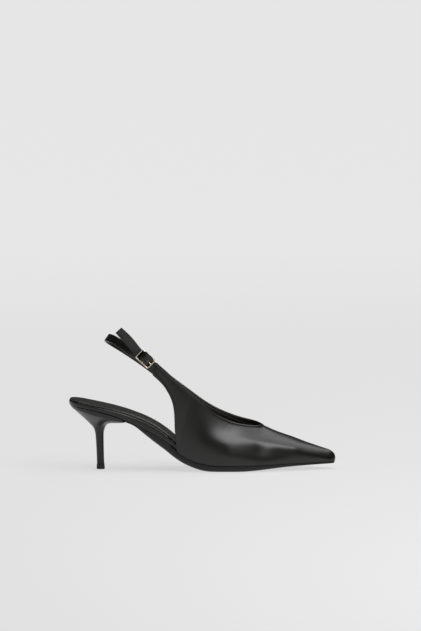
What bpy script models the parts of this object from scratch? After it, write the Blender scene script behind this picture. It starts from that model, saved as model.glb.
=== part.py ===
"""Pointed slingback pump with a slim heel, a right shoe: metres, +Z up, +X to the toe, -Y outward."""

import math

import bmesh
import bpy
import numpy as np
from mathutils import Matrix, Vector

# Driving dimensions in millimetres; points become metres as each mesh is made.
MM = 0.001
GAP = 0.3
WALL = 1.6
STRAP_THICKNESS = 1.6
STRAP_WIDTH = 8.0
SOLE_INSET = 0.4
BOARD_INSET_BACK = 0.2
BOARD_INSET_INSIDE = WALL + 2.0 * GAP
SOCK_INSET = 0.8
BOARD_STEP_FROM = -34.0
BOARD_STEP_TO = -29.5
OUTSOLE_LAST_ROW = 19
OUTLINE_OVERRUN = 8

# Steps between two table rows, and cells across each piece.
SOLE_STEPS = 2
RIB_STEPS = 2
RIB_CELLS = 8
SLING_STEPS = 4
HEEL_STEPS = 2
HEEL_POINTS = 28
SEAT_STEPS = 8

# Curves are read a little before and after a place for their direction; points this close are one.
CURVE_NUDGE = 0.02
SAME_POINT = 0.002
SAME_POINT_METRES = 0.000001

# Side shapes of the sole layers from the top down: how far in the side lies, and the share of the depth.
# The outsole's first column is a share of its slant; the others are millimetres.
OUTSOLE_SIDE = ((0.0, 0.0), (0.12, 0.40), (0.45, 0.80), (1.0, 1.0))
BOARD_SIDE = ((0.5, 0.0), (0.0, 0.12), (0.1, 0.5), (0.5, 1.0))
SOCK_SIDE = ((2.2, 0.0), (0.6, 0.2), (0.0, 0.55), (0.3, 1.0))

# Sole stations from toe to heel: outline on the outer and inner side, then heights of the tread,
# the outsole's top, the board's top and the sock's top, and how far the sole's edge slants in.
STATION_COLUMNS = ("x", "outer", "inner", "tread", "welt", "board", "sock", "bevel")
STATIONS = (
    (128.2, 4.0, 4.0, 5.6, 7.3, 9.6, 11.2, 0.3),
    (127.0, -0.6, 8.6, 5.6, 7.3, 9.6, 11.2, 0.4),
    (122.5, -4.6, 12.4, 5.5, 7.3, 9.6, 11.3, 0.6),
    (114.0, -8.6, 15.9, 5.3, 7.3, 9.7, 11.5, 0.9),
    (100.0, -14.5, 21.5, 4.8, 7.1, 9.6, 11.6, 1.2),
    (84.0, -21.0, 27.6, 3.8, 6.9, 9.5, 11.5, 3.0),
    (68.0, -27.1, 32.7, 2.3, 6.5, 9.2, 11.3, 4.2),
    (54.0, -31.7, 36.0, 0.9, 6.2, 8.9, 11.0, 5.2),
    (40.0, -35.0, 36.8, 0.1, 6.0, 8.7, 10.9, 5.8),
    (26.0, -36.3, 36.2, 0.0, 6.0, 8.7, 10.9, 6.0),
    (12.0, -35.7, 34.0, 0.0, 6.4, 9.2, 11.5, 6.0),
    (0.0, -34.3, 31.6, 1.0, 8.0, 11.3, 13.7, 5.6),
    (-11.0, -32.8, 29.8, 4.4, 11.3, 15.4, 17.9, 5.4),
    (-20.0, -31.7, 28.9, 8.5, 16.2, 21.8, 24.4, 5.6),
    (-27.0, -30.5, 28.1, 12.6, 21.6, 28.8, 31.4, 6.6),
    (-35.0, -29.2, 27.2, 18.5, 28.6, 35.6, 38.0, 8.0),
    (-45.0, -27.4, 26.0, 25.9, 35.0, 42.4, 44.8, 8.6),
    (-56.0, -26.0, 25.4, 35.4, 40.6, 48.2, 50.6, 6.0),
    (-65.0, -25.6, 25.4, 43.2, 44.9, 51.8, 54.1, 3.0),
    (-73.8, -25.8, 25.8, 47.4, 48.9, 55.0, 57.2, 1.6),
    (-87.0, -27.0, 27.0, 52.5, 53.9, 59.0, 60.7, 1.6),
    (-100.0, -27.6, 27.6, 56.2, 57.6, 62.0, 63.5, 1.6),
    (-112.0, -25.8, 25.8, 58.8, 60.2, 64.5, 65.9, 1.6),
    (-121.0, -20.2, 20.2, 60.2, 61.6, 66.2, 67.7, 1.6),
    (-126.8, -12.0, 12.0, 60.9, 62.3, 67.2, 68.8, 1.6),
    (-128.8, 0.0, 0.0, 61.1, 62.5, 67.5, 69.2, 1.6),
)

# Ribs of the upper that stand on the sole, toe to back corner: the station under the foot, the ridge or
# topline point on top, the way the rib faces in plan, and its swell above the foot and below the top.
RIB_COLUMNS = ("station", "top_x", "top_y", "top_z", "heading", "belly", "rise", "crown", "drop", "roll")
VAMP_RIBS = (
    (0.0, 123.2, 4.0, 17.9, 0.0, 1.4, 4.0, 4.5, 1.6, 0.0),
    (1.0, 120.5, 3.9, 19.2, 42.0, 1.6, 4.5, 4.8, 1.2, 0.0),
    (2.0, 116.0, 3.8, 20.6, 64.0, 2.2, 5.0, 5.6, 0.8, 0.0),
    (3.0, 108.5, 3.6, 23.0, 70.0, 3.0, 7.0, 8.2, 0.5, 0.0),
    (4.0, 97.0, 3.3, 27.0, 72.0, 4.2, 9.2, 11.8, 0.3, 0.0),
    (5.0, 84.0, 2.8, 32.1, 74.0, 5.2, 11.6, 16.4, 0.2, 0.2),
    (6.0, 70.5, 2.2, 37.1, 77.0, 6.1, 13.8, 20.0, 0.2, 0.5),
    (7.0, 57.5, 1.5, 43.5, 82.0, 6.7, 15.2, 22.8, 0.2, 0.9),
)
OUTER_RIBS = (
    (7.5, 55.4, -6.4, 43.4, 85.0, 6.7, 14.9, 18.2, 3.8, 0.4),
    (8.0, 50.8, -12.2, 43.3, 87.0, 6.8, 14.6, 15.2, 6.2, 0.2),
    (8.6, 43.4, -17.3, 44.4, 88.0, 7.0, 13.9, 12.7, 8.1, 0.0),
    (9.3, 33.0, -22.4, 46.7, 90.0, 7.0, 12.8, 9.8, 10.4, 0.0),
    (10.1, 22.0, -26.4, 51.0, 92.0, 6.8, 13.2, 8.0, 13.0, 0.0),
    (11.0, 11.5, -29.3, 57.4, 93.0, 6.2, 14.0, 6.0, 16.0, 0.0),
    (12.1, 0.5, -31.4, 67.4, 94.0, 5.2, 15.5, 4.0, 18.0, 0.0),
    (13.6, -10.0, -32.8, 77.0, 94.0, 4.2, 16.0, 2.2, 17.0, 0.0),
)
INNER_RIBS = (
    (7.5, 55.4, 9.2, 44.2, 85.0, 6.6, 14.9, 18.2, 3.8, 0.4),
    (8.0, 50.8, 14.9, 45.5, 87.0, 6.6, 14.6, 15.3, 6.4, 0.2),
    (8.6, 43.4, 19.7, 47.0, 88.0, 6.6, 13.9, 12.2, 8.6, 0.0),
    (9.3, 33.0, 24.0, 49.5, 90.0, 6.4, 12.8, 9.0, 10.4, 0.0),
    (10.1, 22.0, 27.2, 53.4, 92.0, 6.0, 13.2, 7.0, 13.0, 0.0),
    (11.0, 11.5, 29.3, 58.2, 93.0, 5.4, 14.0, 5.0, 15.5, 0.0),
    (12.1, 0.5, 30.6, 64.8, 94.0, 4.6, 15.0, 3.2, 16.5, 0.0),
    (13.6, -9.5, 31.4, 72.0, 94.0, 3.6, 15.0, 1.8, 15.5, 0.0),
)

# Ribs above the back corner: the back edge or strap's lower edge, the topline, and the rib's bow.
STRAP_COLUMNS = ("foot_x", "foot_y", "foot_z", "top_x", "top_y", "top_z", "bow")
OUTER_STRAP = (
    (-25.8, -33.4, 35.0, -18.5, -33.5, 84.2, 1.6),
    (-26.2, -34.2, 50.0, -25.0, -33.8, 89.3, 0.9),
    (-27.8, -34.2, 63.5, -30.5, -33.9, 94.2, 0.5),
    (-32.0, -34.0, 75.2, -36.0, -33.8, 99.2, 0.3),
    (-38.7, -33.7, 85.8, -41.0, -33.5, 103.6, 0.2),
    (-45.1, -33.2, 93.6, -43.8, -33.1, 105.9, 0.1),
    (-51.2, -32.9, 101.2, -45.9, -32.9, 107.1, 0.0),
    (-54.2, -36.1, 104.4, -48.9, -36.1, 110.1, 0.0),
    (-57.0, -38.0, 107.5, -50.8, -38.0, 114.2, 0.0),
    (-60.3, -36.1, 110.1, -55.0, -36.1, 115.8, 0.0),
    (-63.6, -32.9, 112.9, -58.2, -32.9, 118.7, 0.0),
    (-73.4, -35.2, 123.6, -66.9, -35.2, 129.7, 0.0),
    (-83.3, -37.6, 135.0, -77.6, -37.6, 140.3, 0.0),
)
INNER_STRAP = (
    (-26.6, 30.9, 34.0, -18.2, 31.7, 78.5, 1.4),
    (-27.2, 31.9, 48.0, -23.8, 31.9, 82.6, 0.8),
    (-29.2, 32.0, 61.5, -28.4, 32.0, 86.0, 0.4),
    (-33.6, 32.0, 71.8, -33.0, 32.0, 89.4, 0.2),
    (-40.2, 31.9, 80.2, -37.9, 31.9, 92.8, 0.1),
    (-48.2, 31.7, 87.8, -42.8, 31.8, 96.4, 0.0),
)
PRONG_HOLE_ROW = 8
RIB_LEAN = 0.3

# Middle line (x, y, z) of the sling strap, from inside the inner quarter round to the buckle's middle bar.
SLING = (
    (-35.0, 29.0, 82.8),
    (-48.0, 29.0, 94.0),
    (-64.0, 26.2, 105.9),
    (-79.0, 19.4, 116.4),
    (-88.6, 10.2, 123.2),
    (-91.8, 0.0, 127.0),
    (-89.4, -10.4, 127.9),
    (-82.0, -20.0, 125.2),
    (-71.5, -27.8, 118.6),
    (-63.5, -29.9, 113.6),
    (-59.4, -30.8, 111.6),
    (-55.3, -32.6, 109.6),
)
SLING_TILT = math.radians(35.0)

# Heel sections from the seat down to the pin: back and front edge, half width, squareness of the front.
HEEL_COLUMNS = ("back_x", "back_z", "front_x", "front_z", "half_width", "square")
HEEL = (
    (-127.3, 62.1, -74.6, 48.7, 27.0, 7.0),
    (-126.2, 60.3, -74.4, 46.8, 26.3, 7.0),
    (-122.6, 57.1, -77.0, 46.0, 23.8, 6.0),
    (-118.0, 53.0, -82.5, 45.5, 19.6, 4.6),
    (-113.0, 48.4, -88.4, 44.9, 14.4, 3.2),
    (-108.3, 43.8, -91.8, 43.3, 9.4, 2.5),
    (-105.3, 40.4, -93.6, 40.8, 6.6, 2.1),
    (-103.9, 37.0, -94.8, 37.0, 5.0, 2.0),
    (-103.1, 32.5, -95.2, 32.5, 4.2, 2.0),
    (-102.4, 22.0, -95.1, 22.0, 3.7, 2.0),
    (-101.9, 10.0, -94.8, 10.0, 3.6, 2.0),
    (-101.8, 5.0, -94.5, 5.0, 3.7, 2.0),
)
HEEL_BACK_ROUND = 2.15
TIP_COLUMNS = ("back_x", "back_z", "front_x", "front_z", "half_width")
TIP = (
    (-101.9, 4.7, -94.4, 4.7, 3.80),
    (-102.1, 0.4, -94.1, 0.4, 4.05),
    (-101.8, 0.0, -94.4, 0.0, 3.75),
)

# Buckle: flat frame on the outer strap, with a middle bar and a prong.
BUCKLE_CENTRE = Vector((-54.85, -34.6, 109.8))
BUCKLE_ANGLE = math.radians(43.0)
BUCKLE_LENGTH = 17.0
BUCKLE_WIDTH = 11.4
BUCKLE_BAR = 1.3
BUCKLE_CORNER = 0.9
BUCKLE_EDGE = 0.25 * BUCKLE_BAR
WINDOW_CORNER = 0.4 * BUCKLE_CORNER
CORNER_POINTS = 4
PRONG_RADIUS = 0.45

# Middle line of the prong in the buckle's own axes: round the middle bar, then onto the end bar.
PRONG_REACH = 0.5 * BUCKLE_BAR + GAP + PRONG_RADIUS
END_BAR = -0.5 * (BUCKLE_LENGTH - BUCKLE_BAR)
PRONG_HOOK_DEGREES = (-80.0, -40.0, 0.0)
PRONG_BEND = (
    (-PRONG_REACH - 0.9, 0.32),
    (-PRONG_REACH - 2.8, 0.85),
    (END_BAR + 1.6, 1.22),
    (END_BAR - 0.6, PRONG_REACH),
)

BLACK_LEATHER = (0.012, 0.011, 0.011)
SOLE_BLACK = (0.010, 0.010, 0.010)
SOCK_BLACK = (0.018, 0.017, 0.017)
PALE_GOLD = (0.72, 0.58, 0.36)


class SmoothCurve:
    """A natural cubic spline through table rows, read by row number."""

    def __init__(self, rows):
        self.values = np.array(rows, dtype=float)
        count = len(self.values)
        matrix = np.eye(count)
        right = np.zeros_like(self.values)
        for row in range(1, count - 1):
            matrix[row, row - 1:row + 2] = (1.0, 4.0, 1.0)
            right[row] = 6.0 * (self.values[row + 1] - 2.0 * self.values[row] + self.values[row - 1])
        self.bends = np.linalg.solve(matrix, right)

    def at(self, place):
        """The value at a row number that may lie between two rows."""
        row = min(max(int(math.floor(place)), 0), len(self.values) - 2)
        after = place - row
        before = 1.0 - after
        bend = (before ** 3 - before) * self.bends[row] + (after ** 3 - after) * self.bends[row + 1]
        return before * self.values[row] + after * self.values[row + 1] + bend / 6.0


def steps_through(rows, steps):
    """Row numbers that step evenly through a table, ending on its last row."""
    return [number / steps for number in range((rows - 1) * steps + 1)]


def smooth_step(low, high, value):
    """A soft step from 0 at low to 1 at high."""
    t = min(max((value - low) / (high - low), 0.0), 1.0)
    return t * t * (3.0 - 2.0 * t)


def closed_outline():
    """The sole's outline as one curve: outer side from heel to toe, inner side back, ends running over."""
    outer = [(row[0], row[1], *row[3:]) for row in reversed(STATIONS)]
    inner = [(row[0], row[2], *row[3:]) for row in STATIONS[1:]]
    ring = outer + inner
    over = OUTLINE_OVERRUN
    return SmoothCurve(ring[-over - 1:-1] + ring + ring[1:over + 1])


OUTLINE = closed_outline()
OUTLINE_TOE = OUTLINE_OVERRUN + len(STATIONS) - 1


def outline_at(station, outer):
    """Outline point at a station with its layer heights, and the plan normal that points outward."""
    place = OUTLINE_TOE - station if outer else OUTLINE_TOE + station
    along = OUTLINE.at(place + CURVE_NUDGE)[:2] - OUTLINE.at(place - CURVE_NUDGE)[:2]
    normal = np.array((along[1], -along[0])) / np.linalg.norm(along)
    x, y, *heights = OUTLINE.at(place)
    heights = dict(zip(STATION_COLUMNS[3:], heights))
    heights["tread"] = max(heights["tread"], 0.0)
    return np.array((x, y)), normal, heights


def make_material(name, colour, roughness, metallic=0.0):
    material = bpy.data.materials.new(name)
    material.use_nodes = True
    shader = material.node_tree.nodes["Principled BSDF"]
    shader.inputs["Base Color"].default_value = (*colour, 1.0)
    shader.inputs["Roughness"].default_value = roughness
    shader.inputs["Metallic"].default_value = metallic
    return material


def finish_mesh(name, shape, sharp_angle=40.0):
    """Turn a bmesh in millimetres into a smooth shaded mesh in metres."""
    bmesh.ops.remove_doubles(shape, verts=shape.verts, dist=SAME_POINT)
    bmesh.ops.recalc_face_normals(shape, faces=shape.faces)
    bmesh.ops.scale(shape, vec=(MM, MM, MM), verts=shape.verts)
    mesh = bpy.data.meshes.new(name)
    shape.to_mesh(mesh)
    shape.free()
    mesh.shade_smooth()
    mesh.set_sharp_from_angle(angle=math.radians(sharp_angle))
    return mesh


def loft(name, sections, cap_start, cap_end):
    """A mesh through rings with equal numbers of points."""
    shape = bmesh.new()
    rings = [[shape.verts.new(point) for point in section] for section in sections]
    for first, second in zip(rings, rings[1:]):
        for index in range(len(first)):
            following = (index + 1) % len(first)
            shape.faces.new((first[index], first[following], second[following], second[index]))
    if cap_start:
        shape.faces.new(rings[0])
    if cap_end:
        shape.faces.new(rings[-1])
    return finish_mesh(name, shape)


def layer_rings(side_shape, stations):
    """Rings of a sole layer: side_shape gives (inset, height) pairs down one side at a station."""
    rings = []
    for station in stations:
        ring = []
        for outer in (True, False):
            point, normal, heights = outline_at(station, outer)
            side = [(*(point - normal * inset), height) for inset, height in side_shape(point[0], heights)]
            ring += side if outer else side[::-1]
        rings.append(ring)
    return rings


def layer_side(table, inset, slant, top, bottom):
    """A layer's side at one station, as inset and height from the top down."""
    return [(inset + slant * inward, top + (bottom - top) * depth) for inward, depth in table]


def outsole_side(_x, heights):
    return layer_side(OUTSOLE_SIDE, SOLE_INSET, heights["bevel"], heights["welt"], heights["tread"])


def board_inset(x):
    """The board shows at the open back and lies inside the upper further forward."""
    inside = smooth_step(BOARD_STEP_FROM, BOARD_STEP_TO, x)
    return BOARD_INSET_BACK + (BOARD_INSET_INSIDE - BOARD_INSET_BACK) * inside


def board_side(x, heights):
    return layer_side(BOARD_SIDE, board_inset(x), 1.0, heights["board"], heights["welt"] + GAP)


def sock_side(x, heights):
    inset = board_inset(x) + SOCK_INSET * smooth_step(BOARD_STEP_TO, BOARD_STEP_FROM, x)
    return layer_side(SOCK_SIDE, inset, 1.0, heights["sock"], heights["board"] + GAP)


def sole_layer(name, side_shape, last_row):
    stations = steps_through(last_row + 1, SOLE_STEPS)
    return loft(name, layer_rings(side_shape, stations), False, last_row < len(STATIONS) - 1)


def bezier(first, second, third, fourth, t):
    a = 1.0 - t
    return a ** 3 * first + 3 * a * a * t * second + 3 * a * t * t * third + t ** 3 * fourth


class UpperSide:
    """One side of the upper: ribs from the sole or strap edge up to the ridge or topline."""

    def __init__(self, outer, ribs, strap, topline):
        self.outer = outer
        self.turn = -1.0 if outer else 1.0
        sole_rows = VAMP_RIBS + ribs
        self.corner = len(sole_rows) - 1
        self.throat = len(VAMP_RIBS) - 1
        self.last = self.corner + len(strap)
        self.ridge = SmoothCurve([row[1:4] for row in VAMP_RIBS])
        self.topline = topline
        self.stations = SmoothCurve([row[:1] for row in sole_rows])
        handles = [self.sole_handles(row) for row in sole_rows]
        self.lower = SmoothCurve([low for low, _third in handles])
        self.third = SmoothCurve([third for _low, third in handles])
        corner_foot = self.sole_foot(sole_rows[-1][0])
        corner_bow = (*handles[-1][0], *(handles[-1][1] - np.array(sole_rows[-1][1:4])))
        self.back_edge = SmoothCurve([tuple(corner_foot)] + [row[:3] for row in strap])
        self.bows = SmoothCurve([corner_bow] + [self.strap_handles(row) for row in strap])

    def sole_foot(self, station):
        point, _normal, heights = outline_at(station, self.outer)
        return np.array((*point, heights["welt"] + GAP))

    def sole_handles(self, row):
        """A rib's second Bezier point, counted from its foot, and its third point."""
        rib = dict(zip(RIB_COLUMNS, row))
        angle = math.radians(rib["heading"])
        outward = np.array((math.cos(angle), self.turn * math.sin(angle), 0.0))
        top = np.array((rib["top_x"], rib["top_y"], rib["top_z"]))
        lean = RIB_LEAN * math.sin(angle) * (top[0] - self.sole_foot(rib["station"])[0])
        low = outward * rib["belly"] + np.array((lean, 0.0, rib["rise"]))
        third = top + outward * rib["crown"] - np.array((lean, 0.0, rib["drop"] - self.turn * rib["roll"]))
        return low, third

    def strap_handles(self, row):
        """Bezier handles that bow a strap rib outwards a little."""
        edge = dict(zip(STRAP_COLUMNS, row))
        span = np.array([edge["top_" + axis] - edge["foot_" + axis] for axis in "xyz"])
        bow = np.array((0.0, self.turn * edge["bow"], 0.0))
        return (*(span / 3.0 + bow), *(bow - span / 3.0))

    def top(self, place):
        return self.ridge.at(place) if place <= self.throat else self.topline(place - self.throat)

    def rib(self, place, cells):
        """Points of the rib at a row number, foot first."""
        top = self.top(place)
        if place <= self.corner:
            foot = self.sole_foot(self.stations.at(place)[0])
            second, third = foot + self.lower.at(place), self.third.at(place)
        else:
            foot = self.back_edge.at(place - self.corner)
            bow = self.bows.at(place - self.corner)
            second, third = foot + bow[:3], top + bow[3:]
        return [bezier(foot, second, third, top, cell / cells) for cell in range(cells + 1)]


def topline_curves():
    """The topline as one smooth curve from the outer strap's tip over the throat to the inner end."""
    outer = [row[1:4] for row in OUTER_RIBS] + [row[3:6] for row in OUTER_STRAP]
    inner = [row[1:4] for row in INNER_RIBS] + [row[3:6] for row in INNER_STRAP]
    curve = SmoothCurve(outer[::-1] + [VAMP_RIBS[-1][1:4]] + inner)
    middle = len(outer)
    return lambda place: curve.at(middle - place), lambda place: curve.at(middle + place)


def build_upper(name):
    """Both sides as one surface of quads, open at the topline, the back and underneath."""
    outer_topline, inner_topline = topline_curves()
    sides = (
        UpperSide(True, OUTER_RIBS, OUTER_STRAP, outer_topline),
        UpperSide(False, INNER_RIBS, INNER_STRAP, inner_topline),
    )
    shape = bmesh.new()
    for side in sides:
        places = steps_through(side.last + 1, RIB_STEPS)
        grid = [[shape.verts.new(point) for point in side.rib(place, RIB_CELLS)] for place in places]
        for row, (first, second) in enumerate(zip(grid, grid[1:])):
            for cell in range(RIB_CELLS):
                if side.outer and is_prong_hole(side, row, cell):
                    continue
                corners = (first[cell], first[cell + 1], second[cell + 1], second[cell])
                shape.faces.new(corners if side.outer else corners[::-1])
    bmesh.ops.remove_doubles(shape, verts=shape.verts, dist=SAME_POINT)
    bmesh.ops.scale(shape, vec=(MM, MM, MM), verts=shape.verts)
    mesh = bpy.data.meshes.new(name)
    shape.to_mesh(mesh)
    shape.free()
    mesh.shade_smooth()
    return mesh


def is_prong_hole(side, row, cell):
    """True for the cells that the buckle's prong passes through."""
    middle = (side.corner + PRONG_HOLE_ROW) * RIB_STEPS
    return row in (middle - 1, middle) and cell in (RIB_CELLS // 2 - 1, RIB_CELLS // 2)


def build_sling(name):
    curve = SmoothCurve(SLING)
    wide = np.array((math.sin(SLING_TILT), 0.0, math.cos(SLING_TILT)))
    rings = []
    for place in steps_through(len(SLING), SLING_STEPS):
        along = curve.at(place + CURVE_NUDGE) - curve.at(place - CURVE_NUDGE)
        across = wide - along * (wide @ along) / (along @ along)
        across /= np.linalg.norm(across)
        outward = np.cross(across, along)
        outward /= np.linalg.norm(outward)
        half = 0.5 * STRAP_WIDTH
        deep = 0.5 * STRAP_THICKNESS
        middle = curve.at(place)
        corners = ((half, deep), (half, -deep), (0.0, -deep), (-half, -deep), (-half, deep), (0.0, deep))
        rings.append([middle + across * side + outward * depth for side, depth in corners])
    return loft(name, rings, True, True)


def heel_ring(back_x, front_x, back_z, front_z, half_width, square=2.0):
    """A closed section with a round back and a front that is squarer for higher powers."""
    middle = 0.5 * (back_x + front_x)
    reach = 0.5 * (front_x - back_x)
    ring = []
    for index in range(HEEL_POINTS):
        angle = 2.0 * math.pi * index / HEEL_POINTS
        power = square if math.cos(angle) > 0.0 else HEEL_BACK_ROUND if square > 2.0 else 2.0
        x = middle + reach * math.copysign(abs(math.cos(angle)) ** (2.0 / power), math.cos(angle))
        y = half_width * math.copysign(abs(math.sin(angle)) ** (2.0 / power), math.sin(angle))
        share = (x - back_x) / (front_x - back_x)
        ring.append((x, y, back_z + (front_z - back_z) * share))
    return ring


def seat_height(x):
    """Height of the heel's top under the curved seat."""
    for station in steps_through(len(STATIONS), SEAT_STEPS):
        point, _normal, heights = outline_at(station, True)
        if point[0] <= x:
            return heights["welt"] - GAP
    return outline_at(len(STATIONS) - 1, True)[2]["welt"] - GAP


def build_heel(name):
    curve = SmoothCurve(HEEL)
    rings = []
    for place in steps_through(len(HEEL), HEEL_STEPS):
        row = dict(zip(HEEL_COLUMNS, curve.at(place)))
        row["square"] = max(row["square"], 2.0)
        ring = heel_ring(**row)
        if place == 0:
            ring = [(x, y, seat_height(x)) for x, y, _z in ring]
        rings.append(ring)
    return loft(name, rings, True, True)


def build_heel_tip(name):
    rings = [heel_ring(**dict(zip(TIP_COLUMNS, row))) for row in TIP]
    return loft(name, rings, True, True)


def rounded_rectangle(curve, length, width, centre, corner):
    """A closed poly spline: a rectangle with a few points round each corner."""
    points = []
    for quarter in range(4):
        sign_x = 1.0 if quarter in (0, 3) else -1.0
        sign_y = 1.0 if quarter in (0, 1) else -1.0
        for step in range(CORNER_POINTS):
            angle = math.radians(90.0 * (quarter + step / (CORNER_POINTS - 1)))
            x = centre + sign_x * (0.5 * length - corner) + corner * math.cos(angle)
            y = sign_y * (0.5 * width - corner) + corner * math.sin(angle)
            points.append((x * MM, y * MM, 0.0, 1.0))
    spline = curve.splines.new("POLY")
    spline.points.add(len(points) - 1)
    for point, place in zip(spline.points, points):
        point.co = place
    spline.use_cyclic_u = True


def buckle_matrix():
    """Local X runs up the strap, local Y across it and local Z away from the shoe."""
    up_strap = Vector((-math.cos(BUCKLE_ANGLE), 0.0, math.sin(BUCKLE_ANGLE)))
    outward = Vector((0.0, -1.0, 0.0))
    across = outward.cross(up_strap)
    turn = Matrix((up_strap, across, outward)).transposed().to_4x4()
    return Matrix.Translation(BUCKLE_CENTRE * MM) @ turn


def build_buckle_frame(name):
    curve = bpy.data.curves.new(name, "CURVE")
    curve.dimensions = "2D"
    curve.fill_mode = "BOTH"
    window = 0.5 * (BUCKLE_LENGTH - 3.0 * BUCKLE_BAR)
    rounded_rectangle(curve, BUCKLE_LENGTH, BUCKLE_WIDTH, 0.0, BUCKLE_CORNER)
    for side in (-1.0, 1.0):
        centre = side * 0.5 * (window + BUCKLE_BAR)
        rounded_rectangle(curve, window, BUCKLE_WIDTH - 2.0 * BUCKLE_BAR, centre, WINDOW_CORNER)
    curve.bevel_depth = BUCKLE_EDGE * MM
    curve.bevel_resolution = 0
    curve.offset = -BUCKLE_EDGE * MM
    curve.extrude = (0.5 * BUCKLE_BAR - BUCKLE_EDGE) * MM
    return curve


def prong_points():
    """The prong's middle line: its hook, then its bend, as distances along the strap and outward."""
    angles = [math.radians(angle) for angle in PRONG_HOOK_DEGREES]
    hook = [(-PRONG_REACH * math.cos(angle), PRONG_REACH * math.sin(angle)) for angle in angles]
    return [*hook, *PRONG_BEND]


def build_prong(name):
    curve = bpy.data.curves.new(name, "CURVE")
    curve.dimensions = "3D"
    curve.bevel_depth = PRONG_RADIUS * MM
    curve.bevel_resolution = 1
    curve.use_fill_caps = True
    spline = curve.splines.new("POLY")
    points = prong_points()
    spline.points.add(len(points) - 1)
    for point, (along, out) in zip(spline.points, points):
        point.co = (along * MM, 0.0, out * MM, 1.0)
    return curve


def clear_scene():
    for item in list(bpy.data.objects):
        bpy.data.objects.remove(item, do_unlink=True)


def add_piece(name, data, material, collection, root):
    piece = bpy.data.objects.new(name, data)
    piece.data.materials.append(material)
    piece.parent = root
    collection.objects.link(piece)
    return piece


def weld(piece):
    joined = piece.modifiers.new("weld", "WELD")
    joined.merge_threshold = SAME_POINT_METRES


def main():
    clear_scene()
    collection = bpy.data.collections.new("slingback_pump")
    bpy.context.scene.collection.children.link(collection)
    root = bpy.data.objects.new("shoe_root", None)
    collection.objects.link(root)

    heel_row = len(STATIONS) - 1
    leather = make_material("black_leather", BLACK_LEATHER, 0.38)
    cover = make_material("heel_cover_leather", BLACK_LEATHER, 0.34)
    band = make_material("board_cover_leather", BLACK_LEATHER, 0.40)
    tread = make_material("sole_black", SOLE_BLACK, 0.45)
    rubber = make_material("tip_rubber", SOLE_BLACK, 0.70)
    sock = make_material("sock_leather", SOCK_BLACK, 0.50)
    gold = make_material("pale_gold", PALE_GOLD, 0.22, 1.0)

    add_piece("outsole", sole_layer("outsole", outsole_side, OUTSOLE_LAST_ROW), tread, collection, root)
    add_piece("insole_board", sole_layer("insole_board", board_side, heel_row), band, collection, root)
    add_piece("insole", sole_layer("insole", sock_side, heel_row), sock, collection, root)
    add_piece("heel", build_heel("heel"), cover, collection, root)
    add_piece("heel_tip", build_heel_tip("heel_tip"), rubber, collection, root)

    upper = add_piece("upper", build_upper("upper"), leather, collection, root)
    wall = upper.modifiers.new("wall", "SOLIDIFY")
    wall.thickness = WALL * MM
    wall.offset = -1.0
    wall.use_even_offset = True

    add_piece("sling_strap", build_sling("sling_strap"), leather, collection, root)
    frame = add_piece("buckle_frame", build_buckle_frame("buckle_frame"), gold, collection, root)
    prong = add_piece("buckle_prong", build_prong("buckle_prong"), gold, collection, root)
    for piece in (frame, prong):
        piece.matrix_world = buckle_matrix()
        weld(piece)


main()
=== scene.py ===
# %% [markdown]
# # A pointed slingback pump in black leather
# The shoe's solids are already made and packed, so this lesson only dresses them.
# Each leather piece is drawn again from the same short tables, with finer steps, rounded edges and
# a finish of its own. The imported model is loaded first, because every new piece has to sit on it.

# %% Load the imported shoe
import math

import bmesh
import bpy
import numpy as np
from mathutils import Matrix, Vector


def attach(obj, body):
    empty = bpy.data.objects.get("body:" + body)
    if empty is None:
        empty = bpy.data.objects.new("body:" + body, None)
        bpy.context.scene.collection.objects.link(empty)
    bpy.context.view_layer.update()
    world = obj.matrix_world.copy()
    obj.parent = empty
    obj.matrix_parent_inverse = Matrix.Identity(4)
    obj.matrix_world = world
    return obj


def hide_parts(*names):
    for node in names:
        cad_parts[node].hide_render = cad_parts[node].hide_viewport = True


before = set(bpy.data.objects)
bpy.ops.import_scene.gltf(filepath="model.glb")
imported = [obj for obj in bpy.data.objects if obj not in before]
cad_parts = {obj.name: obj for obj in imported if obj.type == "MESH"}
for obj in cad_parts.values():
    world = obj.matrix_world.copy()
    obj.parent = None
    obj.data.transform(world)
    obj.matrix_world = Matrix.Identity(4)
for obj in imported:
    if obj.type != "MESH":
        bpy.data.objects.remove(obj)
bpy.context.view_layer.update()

MM = 0.001
BODY = "root"
print("packed pieces:", sorted(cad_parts))

# %% [markdown]
# ## The camera
# The photograph is taken from far off, almost level with the shoe and square to its outer side.
# A long lens keeps the sides parallel. The image is 421 by 631 pixels, so the scale of the shoe in
# the picture, in millimetres for one pixel, settles how wide the lens looks at that distance.

# %% Place the camera
IMAGE_HEIGHT = 631
IMAGE_MIDDLE = (210.5, 315.5)
MM_PER_PIXEL = 0.966
SHOE_MIDDLE_COLUMN = 202.3
FLOOR_ROW = 468.8
CAMERA_ELEVATION = math.radians(5.0)
CAMERA_DISTANCE = 9000.0
SIGHT_METRES = 50.0


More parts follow.
